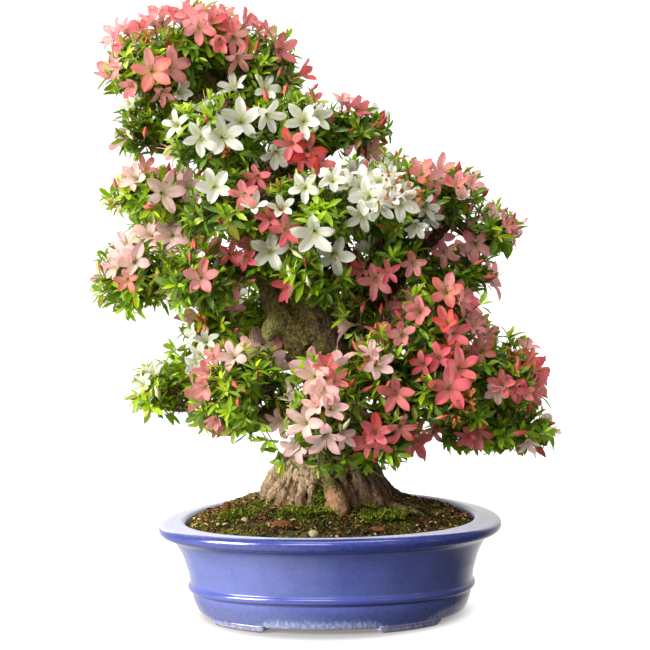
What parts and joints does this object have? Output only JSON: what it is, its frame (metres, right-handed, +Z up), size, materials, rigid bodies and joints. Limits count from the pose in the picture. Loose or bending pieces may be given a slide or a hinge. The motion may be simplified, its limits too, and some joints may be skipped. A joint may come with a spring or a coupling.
{
  "type": "satsuki azalea bonsai",
  "caption": "Flowering satsuki azalea bonsai with a flared, rooted trunk and leafy pads, planted in soil in an oval blue-glazed pot.",
  "frame": {"origin": "middle of the pot's footprint, on the surface that its feet stand on", "axes": "+Z up, +X to the right along the pot's length, -Y towards the viewer's side"},
  "size_m": [0.5329, 0.3177, 0.7071],
  "materials": {
    "glaze": "gloss",
    "mesh_plastic": "matte",
    "staple_wire": "satin",
    "soil": "matte",
    "bark": "matte",
    "moss": "matte",
    "pebble": "matte",
    "bark_chip": "matte",
    "foliage": "satin",
    "petal_white": "satin",
    "petal_pale": "satin",
    "petal_pink": "satin",
    "petal_salmon": "satin"
  },
  "bodies": {
    "root": {"bark_chip_front": "bark_chip", "bark_chip_left": "bark_chip", "bark_flake_right": "bark_chip", "bloom_apex_pink": "petal_pink", "bloom_centre_white": "petal_white", "bloom_left_pale": "petal_pale", "bloom_low_pale": "petal_pale", "bloom_right_salmon": "petal_salmon", "bloom_upper_white": "petal_white", "drain_mesh_left": "mesh_plastic", "drain_mesh_right": "mesh_plastic", "mesh_staple_left": "staple_wire", "mesh_staple_right": "staple_wire", "moss_back": "moss", "moss_front": "moss", "moss_left": "moss", "moss_right": "moss", "pad_apex_left": "foliage", "pad_apex_middle": "foliage", "pad_apex_right": "foliage", "pad_back_apex": "foliage", "pad_back_centre": "foliage", "pad_back_left": "foliage", "pad_back_left_low": "foliage", "pad_back_middle": "foliage", "pad_back_right": "foliage", "pad_back_right_low": "foliage", "pad_centre": "foliage", "pad_centre_left": "foliage", "pad_centre_low": "foliage", "pad_left_core": "foliage", "pad_left_inner": "foliage", "pad_left_low": "foliage", "pad_left_middle": "foliage", "pad_left_spur": "foliage", "pad_lower_centre": "foliage", "pad_lower_left": "foliage", "pad_lower_left_end": "foliage", "pad_lower_right_centre": "foliage", "pad_lower_right_end": "foliage", "pad_lower_right_front": "foliage", "pad_lower_right_inner": "foliage", "pad_lower_right_skirt": "foliage", "pad_lower_right_upper": "foliage", "pad_right_core": "foliage", "pad_right_end": "foliage", "pad_right_far": "foliage", "pad_right_inner": "foliage", "pad_right_middle": "foliage", "pad_right_upper": "foliage", "pad_shoulder_right": "foliage", "pad_upper_left": "foliage", "pad_upper_middle": "foliage", "pad_upper_right": "foliage", "pebble_front": "pebble", "pebble_left": "pebble", "pebble_right": "pebble", "pot": "glaze", "soil": "soil", "trunk": "bark"}
  },
  "joints": []
}
